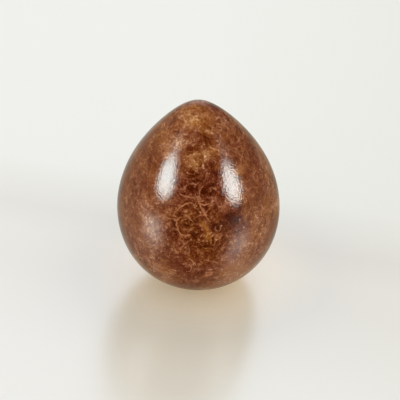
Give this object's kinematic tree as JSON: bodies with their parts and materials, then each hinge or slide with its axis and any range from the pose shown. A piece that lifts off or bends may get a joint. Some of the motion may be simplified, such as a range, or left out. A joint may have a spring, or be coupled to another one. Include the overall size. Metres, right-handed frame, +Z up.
{
  "type": "natural pearl",
  "caption": "Brown drop-shaped natural pearl, undrilled and highly polished, standing upright on a small flat under its round end.",
  "frame": {"origin": "centre of the small flat under the round end, where the pearl rests", "axes": "+Z up the drop's axis to its narrow tip; +Y away from the viewer; the form is round about Z"},
  "size_m": [0.0082, 0.0082, 0.01],
  "materials": {
    "pearl": "gloss"
  },
  "bodies": {
    "root": {"pearl": "pearl"}
  },
  "joints": []
}
